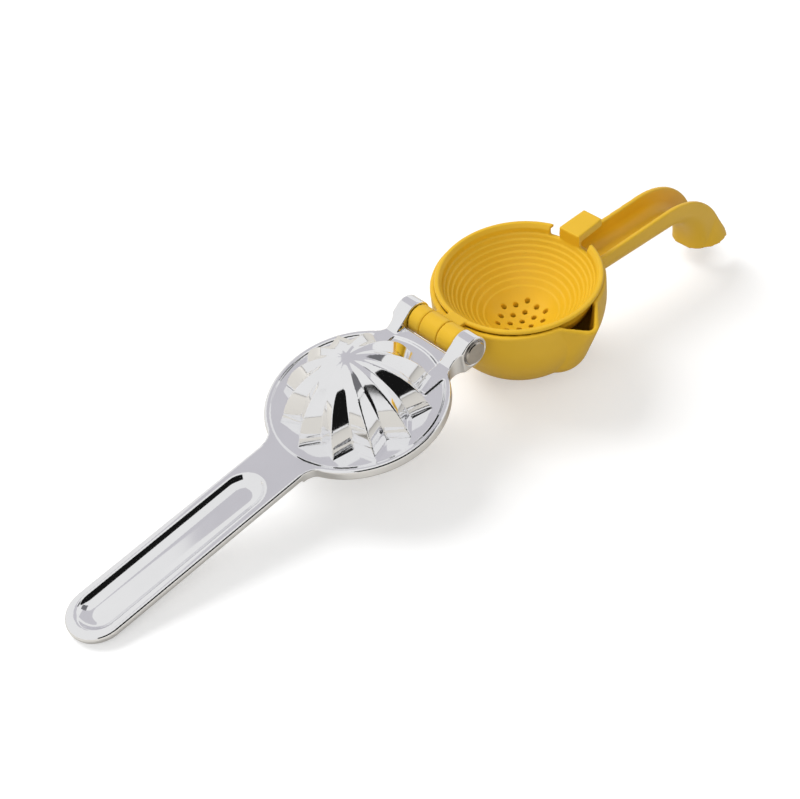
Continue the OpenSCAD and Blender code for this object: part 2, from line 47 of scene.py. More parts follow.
# ---------------------------------------------------------------- sizes, in millimetres and degrees
BALL_HEIGHT = 41.2
REST_TILT = 8.43
BOWL_R = 39.5
CAVITY_R = 36.8
BOWL_SHIFT = 0.8
RIM = 8.5
FLANGE_LOW = RIM + 0.2
FLANGE_TOP = FLANGE_LOW + 1.8
PIN_BACK = 49.3
PIN_UP = FLANGE_TOP + 1.4
PIN_R = 3.0
PLATE_TOP = 0.34
PLATE_LOW = PLATE_TOP - 5.2
ARM_LOW = PLATE_TOP - 4.7
ARM_HALF = 13.0
ARM_LENGTH = 200.0
EAR_IN = 13.6
EAR_OUT = 21.5
BOSS_R = 7.3
ARM_DROP = 3.68
KNUCKLE_R = 6.5
THROUGH = 20.0


def turn(axis, angle):
    """A rotation about an axis, by an angle in degrees."""
    return Matrix.Rotation(radians(angle), 4, axis)


def shift(x, y, z):
    return Matrix.Translation((x, y, z))


ON_BOWL = Matrix.Scale(MM, 4) @ shift(0, 0, BALL_HEIGHT) @ turn("Y", -REST_TILT)
ON_PIN = ON_BOWL @ shift(-PIN_BACK, 0, PIN_UP)
ON_PRESS = ON_PIN @ turn("Y", -ARM_DROP) @ turn("Z", 180)


# ---------------------------------------------------------------- drawing
def arc(centre, r, start, stop, steps):
    """Points of an arc. Angles run clockwise from straight up, in degrees."""
    turns = [radians(start + (stop - start) * i / steps) for i in range(steps + 1)]
    return [(centre[0] + r * sin(a), centre[1] + r * cos(a)) for a in turns]


def bent(p, slope, x, r, end_slope, steps=48):
    """A line that slopes down through p, then bends down round a radius r from x on."""
    s = radians(slope)
    knee = (x, p[1] - (x - p[0]) * tan(s))
    hub = (knee[0] - r * sin(s), knee[1] - r * cos(s))
    before = 20
    start = (p[0] - before * cos(s), p[1] + before * sin(s))
    return [start] + arc(hub, r, slope, end_slope, steps)


def chain(bm, points, place):
    """Joins points into a line of edges; place turns a drawn point into a point in space."""
    verts = [bm.verts.new(place(*p)) for p in points]
    for a, b in zip(verts, verts[1:]):
        bm.edges.new((a, b))
    return verts


def tidy(bm, gap=1e-4):
    bmesh.ops.remove_doubles(bm, verts=bm.verts, dist=gap)
    bmesh.ops.recalc_face_normals(bm, faces=bm.faces)
    return bm


def lathe(points, steps=360, axis="Z"):
    """A solid turned from a closed half profile of (radius, height), round Z or round Y."""
    bm = bmesh.new()
    along = Vector((0, 0, 1)) if axis == "Z" else Vector((0, 1, 0))
    place = (lambda r, h: (r, 0, h)) if axis == "Z" else (lambda r, h: (r, h, 0))
    verts = chain(bm, points, place)
    if points[0][0] > 1e-6 or points[-1][0] > 1e-6:
        bm.edges.new((verts[-1], verts[0]))
    bmesh.ops.spin(bm, geom=bm.verts[:] + bm.edges[:], cent=(0, 0, 0), axis=along, dvec=(0, 0, 0),
                   angle=2 * pi, steps=steps, use_merge=True, use_duplicate=False)
    return tidy(bm)


def slab(points, low, high, plane="XY", round_edges=0.0):
    """A flat outline given a thickness: drawn in plan, from the side (XZ) or in section (YZ)."""
    bm = bmesh.new()
    place = {"XY": lambda u, v: (u, v, low), "XZ": lambda u, v: (u, low, v),
             "YZ": lambda u, v: (low, u, v)}[plane]
    step = {"XY": (0, 0, high - low), "XZ": (0, high - low, 0), "YZ": (high - low, 0, 0)}[plane]
    face = bm.faces.new([bm.verts.new(place(*p)) for p in points])
    grown = bmesh.ops.extrude_face_region(bm, geom=[face])
    bmesh.ops.translate(bm, verts=[g for g in grown["geom"] if isinstance(g, bmesh.types.BMVert)],
                        vec=step)
    tidy(bm)
    if round_edges:
        bmesh.ops.bevel(bm, geom=bm.edges[:], offset=round_edges, offset_type="OFFSET", segments=4,
                        profile=0.5, affect="EDGES", material=-1)
    return bm


def rod(r, low, high, axis="Z", steps=128):
    """A plain round bar, used to build or to bore."""
    return lathe([(0, low), (r, low), (r, high), (0, high)], steps, axis)


def moved(bm, matrix):
    bmesh.ops.transform(bm, matrix=matrix, verts=bm.verts)
    return bm


def sweep(section, places):
    """A solid swept from place to place by a closed section of (side, height)."""
    bm = bmesh.new()
    loops = [[bm.verts.new(place @ Vector((0, u, v))) for u, v in section] for place in places]
    for first, second in zip(loops, loops[1:]):
        for i in range(len(section)):
            bm.faces.new((first[i - 1], first[i], second[i], second[i - 1]))
    bm.faces.new(loops[0])
    bm.faces.new(loops[-1][::-1])
    return tidy(bm)


def hull_of(*parts):
    """The tight skin round some solids."""
    bm = bmesh.new()
    for part in parts:
        for vert in part.verts:
            bm.verts.new(vert.co)
        part.free()
    skin = bmesh.ops.convex_hull(bm, input=bm.verts[:])
    inside = {v for v in skin["geom_interior"] + skin["geom_unused"]
              if isinstance(v, bmesh.types.BMVert)}
    bmesh.ops.delete(bm, geom=list(inside), context="VERTS")
    return tidy(bm)


def as_object(name, bm):
    mesh = bpy.data.meshes.new(name)
    bm.to_mesh(mesh)
    bm.free()
    obj = bpy.data.objects.new(name, mesh)
    bpy.context.scene.collection.objects.link(obj)
    return obj


def join_cut(base, *steps):
    """Adds, cuts or keeps the common part, one solid after another."""
    obj = as_object("casting", base)
    helpers = []
    for operation, bm in steps:
        helper = as_object("tool", bm)
        helpers.append(helper)
        modifier = obj.modifiers.new("join", "BOOLEAN")
        modifier.operation = operation
        modifier.solver = "MANIFOLD"
        modifier.object = helper
    mesh = evaluated(obj)
    bm = bmesh.new()
    bm.from_mesh(mesh)
    bpy.data.meshes.remove(mesh)
    for helper in helpers + [obj]:
        data = helper.data
        bpy.data.objects.remove(helper)
        bpy.data.meshes.remove(data)
    return bm


def evaluated(obj):
    view = bpy.context.evaluated_depsgraph_get()
    view.update()
    return bpy.data.meshes.new_from_object(obj.evaluated_get(view))


def cast(name, bm, place, grain, relax, kept=1.0):
    """Sets a solid in the frame, in metres, skins it at the given grain and relaxes the skin.

    Where less than all is kept, flat stretches are then thinned out."""
    bmesh.ops.transform(bm, matrix=place, verts=bm.verts)
    obj = as_object(name, bm)
    skin = obj.modifiers.new("skin", "REMESH")
    skin.mode = "VOXEL"
    skin.voxel_size = grain * MM
    soft = obj.modifiers.new("relax", "SMOOTH")
    soft.factor = 0.5
    soft.iterations = relax
    if kept < 1:
        thin = obj.modifiers.new("thin", "DECIMATE")
        thin.ratio = kept
    old = obj.data
    obj.data = evaluated(obj)
    obj.modifiers.clear()
    bpy.data.meshes.remove(old)
    obj.data.name = name
    for polygon in obj.data.polygons:
        polygon.use_smooth = True
    return obj


def dress(obj, finish, body, slot, *nodes):
    obj.data.materials.clear()
    obj.data.materials.append(finish)
    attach(obj, body)
    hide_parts(*nodes)
    return obj


ADD, CUT, KEEP = "UNION", "DIFFERENCE", "INTERSECT"


# ---------------------------------------------------------------- the bowl
SPOUT_X = -1.5
SPOUT_HALF = 12.4
SPOUT_REACH = 46.6
SPOUT_NOSE = 4.2
LIP_START = 37.3
LIP_UP = 4.2
HANDLE_HALF = 10.5
HANDLE_WALL = 2.4
HANDLE_X = 46.0
WALL_TOP = -4.38
UNDERSIDE = -16.41
CHANNEL_ROUND = 7.5
UNDER_SLOPE = 6.36
KNEE_X = 94.9
BEND_R = 23.0
BEND_TURN = 105 - UNDER_SLOPE
FOOT_X = 129.2
FOOT_Z = -48.5
FOOT_R = 13.9
FOOT_FLARE = 18.0
BELL_NECK = HANDLE_HALF - 0.05
FOOT_ROUND = 5.0
FOOT_TURN = 115.0
WALL_SLOPE = 4.19
WALL_KNEE = 92.0
WALL_BEND = 45.2
WALL_FALL = 62.4
GAP_HALF = 13.5
GAP_DEEP = 5.0
PAD_R = 12.2
PAD_UP = 6.0
BELLY_R = 15.0
BELLY_OUT = 2.6
BELLY_TURN = 33
SPOUT_LEAN = 24
SPOUT_WALL = 2.4
SPOUT_ROOT = 2.7
NEAR_KNUCKLE = (-13.4, -4.15)
FAR_KNUCKLE = (6.55, 13.4)
RIM_ROUND = 1.0
FAR = 120.0


def spout_form(inset, rise):
    """The pouring spout: a rounded nose and a belly blended into the bowl's side."""
    nose_reach = SPOUT_REACH + (RIM - LIP_UP) * tan(radians(SPOUT_LEAN)) - SPOUT_NOSE
    nose = moved(rod(SPOUT_NOSE - inset, RIM - 1, RIM + rise, steps=64),
                 shift(SPOUT_X, -nose_reach, 0))
    half = SPOUT_HALF - inset
    left, right = SPOUT_X - half, SPOUT_X + half
    front, back = -LIP_START, -LIP_START + SPOUT_ROOT
    bar = slab([(left, front), (right, front), (right, back), (left, back)], RIM - 1, RIM + rise)
    belly = bmesh.new()
    bmesh.ops.create_icosphere(belly, subdivisions=6, radius=BELLY_R - inset)
    moved(belly, turn("X", BELLY_TURN) @ shift(SPOUT_X, -(BOWL_R + BELLY_OUT - BELLY_R), 0))
    return hull_of(nose, bar, belly)


def lip_cut():
    """What lies above the spout's sloping lip."""
    fall = (RIM - LIP_UP) / (SPOUT_REACH - LIP_START)
    out, up, back = 60, 60, 8
    outline = [(LIP_START, RIM), (out, RIM - (out - LIP_START) * fall), (out, up), (back, up),
               (back, RIM)]
    return slab([(-u, v) for u, v in outline], -30, 30, "YZ")


def channel_section(inset):
    """The channel's outline: parallel sides and a floor with round corners."""
    half, corner = HANDLE_HALF - inset, CHANNEL_ROUND - inset
    flat = HANDLE_HALF - CHANNEL_ROUND
    return ([(-half, FAR / 2)] + arc((-flat, CHANNEL_ROUND), corner, 270, 180, 14)
            + arc((flat, CHANNEL_ROUND), corner, 180, 90, 14) + [(half, FAR / 2)])


def channel_run(inset):
    """That outline carried along the handle's floor: a straight run, then the bend to the foot."""
    knee_z = UNDERSIDE - (KNEE_X - HANDLE_X) * tan(radians(UNDER_SLOPE))
    knee = shift(KNEE_X, 0, knee_z) @ turn("Y", UNDER_SLOPE)
    hub = knee @ shift(0, 0, -BEND_R)
    bend = [hub @ turn("Y", BEND_TURN * i / 72) @ shift(0, 0, BEND_R) for i in range(73)]
    return sweep(channel_section(inset), [knee @ shift(-FAR * 2 / 3, 0, 0)] + bend)


def foot_bell(inset):
    """The foot's bell: it spreads from inside the channel's walls to the foot's mouth."""
    out = FOOT_R - BELL_NECK
    curve = (FOOT_FLARE ** 2 + out ** 2) / (2 * out)
    swing = degrees(asin(FOOT_FLARE / curve))
    waist = FOOT_Z + FOOT_FLARE
    return moved(lathe([(0, waist)]
                       + arc((BELL_NECK + curve, waist), curve + inset, 270, 270 - swing, 40)
                       + [(FOOT_R - inset, -FAR), (0, -FAR)], 256), shift(FOOT_X, 0, 0))


def under_walls():
    """All under the top of the channel's walls, which ends with a round at the foot's mouth."""
    top = bent((HANDLE_X, WALL_TOP), WALL_SLOPE, WALL_KNEE, WALL_BEND, WALL_FALL)
    last = top[-1]
    low = FOOT_Z - FOOT_ROUND * cos(radians(FOOT_TURN))
    drop = last[1] - low - FOOT_ROUND * cos(radians(WALL_FALL))
    centre = (last[0] + drop / tan(radians(WALL_FALL)) - FOOT_ROUND * sin(radians(WALL_FALL)), low)
    mouth = arc(centre, FOOT_ROUND, WALL_FALL, FOOT_TURN, 12)
    return slab(top + mouth + [(FOOT_X, FOOT_Z - 1), (0, -FAR)], -40, 40, "XZ")


def channel_handle():
    """The open channel with its horseshoe foot, cut down to a wall all round."""
    limit = slab([(BOWL_R / 2, -40), (FAR * 2, -40), (FAR * 2, 40), (BOWL_R / 2, 40)], FOOT_Z, 60)
    return join_cut(channel_run(0), (ADD, foot_bell(0)), (CUT, channel_run(HANDLE_WALL)),
                    (CUT, foot_bell(HANDLE_WALL)), (KEEP, under_walls()), (KEEP, limit))


def knuckle(low, high):
    """One of the bowl's hinge knuckles, with the web that carries it."""
    barrel = moved(rod(KNUCKLE_R, low, high, "Y", 180), shift(-PIN_BACK, 0, PIN_UP))
    web = slab([(-PIN_BACK, PIN_UP), (-PIN_BACK, PIN_UP - KNUCKLE_R), (-CAVITY_R, -2),
                (-CAVITY_R, RIM), (KNUCKLE_R - 1 - PIN_BACK, RIM)], low, high, "XZ")
    return join_cut(barrel, (ADD, web))


def pin_bore(ease):
    """The bore for the pin through the bowl's or the strainer's knuckles."""
    return moved(rod(PIN_R + ease, -THROUGH, THROUGH, "Y", 96), shift(-PIN_BACK, 0, PIN_UP))


def bowl_shape():
    edge = arc((BOWL_R - RIM_ROUND, RIM - RIM_ROUND), RIM_ROUND, 90, 0, 6)[1:]
    ball = lathe(arc((0, 0), BOWL_R, 180, 90, 90) + [(BOWL_R, RIM - RIM_ROUND)] + edge
                 + [(0, RIM)], 480)
    cavity = lathe([(0, RIM + 5), (CAVITY_R, RIM + 5)] + arc((0, 0), CAVITY_R, 90, 180, 90), 480)
    pad = moved(rod(PAD_R, 0, PAD_UP, steps=128), turn("Y", REST_TILT) @ shift(0, 0, -BALL_HEIGHT))
    spout = join_cut(spout_form(0, 0), (CUT, lip_cut()))
    finger_gap = slab([(0, -GAP_HALF), (FAR, -GAP_HALF), (FAR, GAP_HALF), (0, GAP_HALF)],
                      RIM - GAP_DEEP, FAR)
    for turned in (ball, cavity):
        moved(turned, shift(-BOWL_SHIFT, 0, 0))
    return join_cut(ball, (ADD, pad), (ADD, spout), (ADD, channel_handle()),
                    (ADD, knuckle(*NEAR_KNUCKLE)), (ADD, knuckle(*FAR_KNUCKLE)),
                    (CUT, cavity), (CUT, finger_gap), (CUT, spout_form(SPOUT_WALL, 1)),
                    (CUT, pin_bore(0.02)))


# ---------------------------------------------------------------- the strainer
STEP_R = 33.4
STEP_DOWN = 4.3
STEP_H = 2.2
STEPS = 9
STEP_FALL = 23.7
LEDGE = 0.6
CUP_DEPTH = 28.8
MOUTH_R = 34.0
BODY_R = CAVITY_R - 1.2
CUP_BULGE = 24.9
CUP_FLOOR = 2.4
FLANGE_R = 38.0
HOLE_R = 1.2
HOLE_PITCH = 5.7
NOTCH_START = 17.0
NOTCH_HALF = 11.5
TAB_UP = 2.5
TAB_REACH = 16.6
TAB_ROOT_HALF = 6.0
TAB_END_HALF = 5.5
MIDDLE_KNUCKLE = (-3.85, 6.25)


def step_r(i):
    return STEP_R * sqrt(1 - i * STEP_H / STEP_FALL)


def step_z(i):
    return FLANGE_TOP - STEP_DOWN - i * STEP_H


def cap_radius(r, rise):
    """Radius of the sphere whose cap has this edge radius and this height."""
    return (r ** 2 + rise ** 2) / (2 * rise)


def cup_outside(floor):
    shell = cap_radius(BODY_R, CUP_BULGE)
    swing = degrees(asin(BODY_R / shell))
    return lathe(arc((0, floor + shell), shell, 180, 180 - swing, 60)
                 + [(BODY_R, FLANGE_LOW), (FLANGE_R - 0.3, FLANGE_LOW),
                    (FLANGE_R, FLANGE_LOW + 0.5), (FLANGE_R, FLANGE_TOP - 0.7),
                    (FLANGE_R - 0.6, FLANGE_TOP), (0, FLANGE_TOP)], 480)


def cup_inside(bottom):
    """The room in the cup: a flared mouth, the stairs and a shallow round bottom."""
    last_r, last_z = step_r(STEPS - 1), step_z(STEPS - 1)
    cap = cap_radius(last_r, last_z - bottom)
    half = degrees(asin(last_r / cap))
    stairs = []
    for i in range(STEPS - 1):
        stairs += [(step_r(i), step_z(i)), (step_r(i + 1) + LEDGE, step_z(i + 1))]
    return lathe([(0, FLANGE_TOP + 1), (MOUTH_R + 2, FLANGE_TOP + 1), (MOUTH_R + 2, FLANGE_TOP),
                  (MOUTH_R + 0.5, FLANGE_LOW), (MOUTH_R, step_z(0))] + stairs
                 + arc((0, bottom + cap), cap, 180 - half, 180, 24), 480)


def drain_holes(floor):
    """Nineteen holes on a triangular grid, two rings round the middle one."""
    holes = []
    for i in range(-2, 3):
        for j in range(max(-2, -2 - i), min(2, 2 - i) + 1):
            place = shift(HOLE_PITCH * (i + j / 2), HOLE_PITCH * j * sin(pi / 3), 0)
            holes.append(moved(rod(HOLE_R, floor - 2, floor + 20, steps=48),
                               turn("Z", 30) @ place))
    return holes


def lift_tab():
    """The tab outside the rim, and its foot in the rim's notch."""
    half, last = TAB_ROOT_HALF, STEP_R + TAB_REACH
    tab = slab([(STEP_R, -half), (last, -TAB_END_HALF), (last, TAB_END_HALF), (STEP_R, half)],
               FLANGE_LOW, FLANGE_TOP + TAB_UP, round_edges=0.6)
    foot = slab([(STEP_R, -half), (60, -half), (60, half), (STEP_R, half)], step_z(0) - 0.5,
                FLANGE_TOP)
    return tab, join_cut(foot, (KEEP, rod(BODY_R, 0, 40, steps=480)))


def strainer_shape():
    bottom = FLANGE_TOP - CUP_DEPTH
    floor = bottom - CUP_FLOOR
    notch = slab([(NOTCH_START, -NOTCH_HALF), (80, -NOTCH_HALF), (80, NOTCH_HALF),
                  (NOTCH_START, NOTCH_HALF)], step_z(0), 60)
    tab, foot = lift_tab()
    barrel = moved(rod(KNUCKLE_R, *MIDDLE_KNUCKLE, "Y", 180), shift(-PIN_BACK, 0, PIN_UP))
    web = slab([(-PIN_BACK, PIN_UP), (-PIN_BACK, FLANGE_LOW), (-BODY_R, FLANGE_LOW),
                (-BODY_R, FLANGE_TOP), (KNUCKLE_R - PIN_BACK, FLANGE_TOP + 0.5)],
               *MIDDLE_KNUCKLE, "XZ")
    return join_cut(cup_outside(floor), (CUT, cup_inside(bottom)),
                    *[(CUT, hole) for hole in drain_holes(floor)], (CUT, notch), (ADD, foot),
                    (ADD, tab), (ADD, barrel), (ADD, web), (CUT, pin_bore(0.06)))


# ---------------------------------------------------------------- the press arm
DOME_UP = 25.0
PLINTH_UP = 2.5
PLINTH_R = 31.7
PLINTH_LOW_R = 33.5
ARCH_R = 30.7
ARCH_BACK = 2.3
ARCH_NARROW = cos(pi / 4) / cos(pi / 6)
DISH_START = 103.8
DISH_HALF = 9.2
DISH_DEEP = 3.2
DISH_ROUND = 7.5
DISH_EDGE = 0.8
EAR_WAIST = EAR_OUT - 2.0
EAR_FILLET = 6.5
PLATE_R = 39.9
PLATE_EDGE = 39.45
CHEEK_X = PIN_BACK - 19.5
ARM_X = PIN_BACK + 19.5
SWING_R = 7.8
RING_SEAT_R = 5.9
RING_SEAT = 0.9
TIP_X = ARM_LENGTH - ARM_HALF
TIP_WALL = 5.0
HOLLOW_R = 23.5
HOLLOW_DEEP = 4.2
RECESS_DEEP = 1.0
COVE_R = 36.3
BEAD_R = 37.9


def bar_half(w, top, low, upper, lower):
    """Half a flat bar's section, with its upper and lower edges rounded."""
    return ([(0, top)] + arc((w - upper, top - upper), upper, 0, 90, 8)
            + arc((w - lower, low + lower), lower, 90, 180, 8) + [(0, low)])


def square(r, start):
    return [(r * cos(radians(start + i * 90)), r * sin(radians(start + i * 90)))
            for i in range(4)]


def vault(start):
    """One of the two arched slabs of a four-sided dome."""
    hub = PLATE_TOP + DOME_UP - sqrt(ARCH_R ** 2 - ARCH_BACK ** 2)
    low = PLATE_TOP + PLINTH_UP - 0.25
    edge = 90 + degrees(asin((hub - low) / ARCH_R))
    peak = degrees(asin(ARCH_BACK / ARCH_R))
    right = [(u * ARCH_NARROW, v) for u, v in arc((-ARCH_BACK, hub), ARCH_R, peak, edge, 64)]
    outline = right + [(-u, v) for u, v in reversed(right[1:])]
    return moved(slab(outline, -60, 60, "XZ"), turn("Z", 45 + start))


def dome_shape(start):
    """A four-sided dome on its plinth. Three of them, turned, make the twelve ridges."""
    four = join_cut(vault(start), (KEEP, vault(start + 90)))
    brow = PLATE_TOP + PLINTH_UP
    plinth = hull_of(slab(square(PLINTH_LOW_R, start), PLATE_LOW + 1, PLATE_TOP - RECESS_DEEP),
                     slab(square(PLINTH_R, start), brow - 0.1, brow))
    return join_cut(four, (ADD, plinth))


def dish_shape():
    """The finger dish: a trough with round ends, whose walls roll over at the arm's top."""
    rise = DISH_ROUND - DISH_DEEP
    middle = DISH_HALF - sqrt(DISH_ROUND ** 2 - (rise + DISH_EDGE / 2) ** 2)
    top = 90 + degrees(asin((rise + DISH_EDGE / 2) / DISH_ROUND))
    side = (arc((middle, rise), DISH_ROUND, 180, top, 16)
            + arc((DISH_HALF + DISH_EDGE, -DISH_EDGE), DISH_EDGE, 300, 360, 6))
    half = side + [(DISH_HALF + DISH_EDGE, rise)]
    near = DISH_START + DISH_HALF
    last = ARM_LENGTH - TIP_WALL - DISH_HALF
    ends = [moved(lathe([(0, -DISH_DEEP)] + half + [(0, rise)], 240), shift(u, 0, PLATE_TOP))
            for u in (near, last)]
    raised = [(u, v + PLATE_TOP) for u, v in half]
    trough = slab([(-u, v) for u, v in reversed(raised)] + raised, near, last, "YZ")
    return join_cut(trough, (ADD, ends[0]), (ADD, ends[1]))


def fillet_centre(w, r, side):
    """Centre of the fillet between the round plate and a straight side at half width w."""
    return (side * sqrt((PLATE_EDGE + r) ** 2 - (w + r) ** 2), w + r)


def plan_fillets(w, r, side, low):
    """That fillet in plan, on both sides."""
    centre = fillet_centre(w, r, side)
    reach = PLATE_EDGE / (PLATE_EDGE + r)
    start = atan(centre[0] / centre[1])
    curve = [(centre[0] - r * sin(start * (1 - i / 16)), centre[1] - r * cos(start * (1 - i / 16)))
             for i in range(17)]
    outline = [(0, 0), (centre[0] * reach, centre[1] * reach)] + curve[1:] + [(centre[0], 0)]
    return [moved(slab([(u, v * up) for u, v in outline], low, PLATE_TOP), shift(PIN_BACK, 0, 0))
            for up in (1, -1)]


def waists():
    """Round cuts that draw the ears in where they leave the plate."""
    u, v = fillet_centre(EAR_WAIST, EAR_FILLET, -1)
    return [moved(rod(EAR_FILLET, -20, 20, steps=180), shift(PIN_BACK + u, v * up, 0))
            for up in (1, -1)]


def ear(low, high):
    """A hinge ear: a round boss and the cheek that joins it to the plate."""
    boss = rod(BOSS_R, low, high, "Y", 180)
    cheek = slab([(0, 0), (0, -BOSS_R), (CHEEK_X, PLATE_LOW), (CHEEK_X, PLATE_TOP),
                  (13.4, PLATE_TOP), (10, 2.3),
                  (BOSS_R * cos(radians(50)), BOSS_R * sin(radians(50)))], low, high, "XZ")
    return join_cut(boss, (ADD, cheek))


def dome_hollow():
    """The round hollow under the dome, open below."""
    hub = PLATE_TOP + DOME_UP - HOLLOW_DEEP - HOLLOW_R
    return moved(lathe([(0, PLATE_LOW - 1), (HOLLOW_R, PLATE_LOW - 1)]
                       + arc((0, hub), HOLLOW_R, 90, 0, 48), 360), shift(PIN_BACK, 0, 0))


def plate_recess():
    """The sunk ring round the dome, with a cove inside the plate's raised bead."""
    floor = PLATE_TOP - RECESS_DEEP
    cove = arc((COVE_R, floor + 1.1), 1.1, 180, 110, 8)
    above = [(BEAD_R, PLATE_TOP + 0.02), (BEAD_R, PLATE_TOP + 5), (0, PLATE_TOP + 5)]
    return moved(lathe([(0, floor)] + cove + above, 480), shift(PIN_BACK, 0, 0))


def press_shape():
    plate = moved(lathe(bar_half(PLATE_R, PLATE_TOP, PLATE_LOW, 1.2, 0.7), 480),
                  shift(PIN_BACK, 0, 0))
    section = bar_half(ARM_HALF, PLATE_TOP, ARM_LOW, 1.1, 2.5)
    side = section[1:-1]
    bar = slab(side + [(-u, v) for u, v in reversed(side)], ARM_X, TIP_X, "YZ")
    end = moved(lathe(section, 360), shift(TIP_X, 0, 0))
    bridge = slab([(SWING_R, -EAR_OUT), (CHEEK_X, -EAR_OUT), (CHEEK_X, EAR_OUT),
                   (SWING_R, EAR_OUT)], PLATE_LOW, PLATE_TOP)
    fillets = (plan_fillets(EAR_WAIST, EAR_FILLET, -1, PLATE_LOW)
               + plan_fillets(ARM_HALF, 8, 1, ARM_LOW))
    base = join_cut(plate, (ADD, bar), (ADD, end), (ADD, bridge), *[(ADD, f) for f in fillets],
                    (CUT, plate_recess()))
    return join_cut(base, (ADD, ear(EAR_IN, EAR_OUT)), (ADD, ear(-EAR_OUT, -EAR_IN)),
                    (CUT, dome_hollow()), (CUT, dish_shape()),
                    (CUT, rod(SWING_R, -EAR_IN, EAR_IN, "Y", 180)),
                    (CUT, rod(PIN_R + 0.06, -30, 30, "Y", 96)),
                    (CUT, rod(RING_SEAT_R, EAR_OUT - RING_SEAT, EAR_OUT + 1, "Y", 128)),
                    *[(CUT, waist) for waist in waists()])


def fluted_dome():
    first, *others = [moved(dome_shape(start), shift(PIN_BACK, 0, 0)) for start in (0, 30, 60)]
    return join_cut(first, *[(ADD, other) for other in others], (CUT, dome_hollow()))


# ---------------------------------------------------------------- finishes
class Signal:
    """A value in a material, so that sums on it can be written as sums."""

    def __init__(self, finish, socket):
        self.finish, self.socket = finish, socket

    def _math(self, operation, a, b):
        return self.finish.node("ShaderNodeMath", {"operation": operation}, {0: a, 1: b})

    def __add__(self, other):
        return self._math("ADD", self, other)

    def __sub__(self, other):
        return self._math("SUBTRACT", self, other)

    def __mul__(self, other):
        return self._math("MULTIPLY", self, other)

    def __rsub__(self, other):
        return self._math("SUBTRACT", other, self)

    __radd__, __rmul__ = __add__, __mul__


class Finish:
    """A material and its nodes."""

    def __init__(self, name):
        self.material = bpy.data.materials.new(name)
        self.material.use_nodes = True
        self.tree = self.material.node_tree
        self.tree.nodes.clear()

    def node(self, kind, settings=None, values=None, out=0):
        made = self.tree.nodes.new(kind)
        for key, value in (settings or {}).items():
            if key == "stops":
                ramp = made.color_ramp
                for i, (place, colour) in enumerate(value):
                    stop = ramp.elements[i] if i < 2 else ramp.elements.new(place)
                    stop.position, stop.color = place, (*colour, 1)
            else:
                setattr(made, key, value)
        for key, value in (values or {}).items():
            if isinstance(value, Signal):
                self.tree.links.new(value.socket, made.inputs[key])
            else:
                made.inputs[key].default_value = value
        return Signal(self, made.outputs[out])

    def noise(self, scale, detail=2.0, roughness=0.5):
        place = self.node("ShaderNodeTexCoord", out="Object")
        return self.node("ShaderNodeTexNoise", {"noise_dimensions": "3D"},
                         {"Vector": place, "Scale": scale, "Detail": detail,
                          "Roughness": roughness})

    def blend(self, factor, a, b):
        return self.node("ShaderNodeMix", {"data_type": "RGBA"}, {"Factor": factor, 6: (*a, 1),
                                                                  7: (*b, 1)}, out=2)

    def surface(self, **values):
        named = {key.replace("_", " "): value for key, value in values.items()}
        shader = self.node("ShaderNodeBsdfPrincipled", None, named)
        self.node_out(shader)
        return self.material

    def node_out(self, shader):
        out = self.tree.nodes.new("ShaderNodeOutputMaterial")
        self.tree.links.new(shader.socket, out.inputs["Surface"])


def yellow_enamel():
    f = Finish("yellow_enamel")
    cloud = f.noise(45, 3)
    peel = f.noise(900, 2)
    tone = f.node("ShaderNodeMapRange", None, {"Value": cloud, "From Min": 0.3, "From Max": 0.7})
    bump = f.node("ShaderNodeBump", None, {"Strength": 0.08, "Distance": 0.0001, "Height": peel})
    return f.surface(Base_Color=f.blend(tone, (0.71, 0.425, 0.016), (0.76, 0.455, 0.021)),
                     Roughness=0.36 + cloud * 0.08, Normal=bump, Specular_IOR_Level=0.45)


def bright_chrome():
    f = Finish("bright_chrome")
    cloud = f.noise(60, 3)
    flow = f.noise(28, 1)
    tone = f.node("ShaderNodeMapRange", None, {"Value": cloud, "From Min": 0.3, "From Max": 0.7})
    bump = f.node("ShaderNodeBump", None, {"Strength": 0.06, "Distance": 0.0008, "Height": flow})
    return f.surface(Base_Color=f.blend(tone, (0.93, 0.93, 0.94), (0.96, 0.96, 0.97)),
                     Metallic=1.0, Roughness=0.05 + cloud * 0.05, Normal=bump)


def turned_steel(name, colour):
    f = Finish(name)
    cloud = f.noise(400, 3)
    fine = f.noise(2500, 2)
    tone = f.node("ShaderNodeMapRange", None, {"Value": cloud, "From Min": 0.3, "From Max": 0.7})
    bump = f.node("ShaderNodeBump", None, {"Strength": 0.05, "Distance": 0.0001, "Height": fine})
    dark = tuple(c * 0.9 for c in colour)
    return f.surface(Base_Color=f.blend(tone, dark, colour), Metallic=1.0,
                     Roughness=0.16 + cloud * 0.12, Normal=bump)


# ---------------------------------------------------------------- camera, lamps and floor
def set_camera():
    """The photograph's place: azimuth, elevation, roll, distance and target, and its lens."""
    azimuth, elevation, roll = radians(-42.283), radians(39.759), radians(-0.982)
    back = Vector((sin(azimuth) * cos(elevation), -cos(azimuth) * cos(elevation), sin(elevation)))
    target = Vector((-59.373, 16.230, 2.41))
    right = Vector((0, 0, 1)).cross(back).normalized()
    up = back.cross(right)
    across = right * cos(roll) + up * sin(roll)
    upright = up * cos(roll) - right * sin(roll)
    data = bpy.data.cameras.new("camera")
    data.sensor_width = 36
    data.lens = 1475.4 / 800 * 36
    data.clip_start, data.clip_end = 0.05, 20
    camera = bpy.data.objects.new("camera", data)
    place = (target + back * 668.85) * MM
    camera.matrix_world = Matrix.Translation(place) @ Matrix(
        (across, upright, back)).transposed().to_4x4()
    bpy.context.scene.collection.objects.link(camera)
    bpy.context.scene.camera = camera


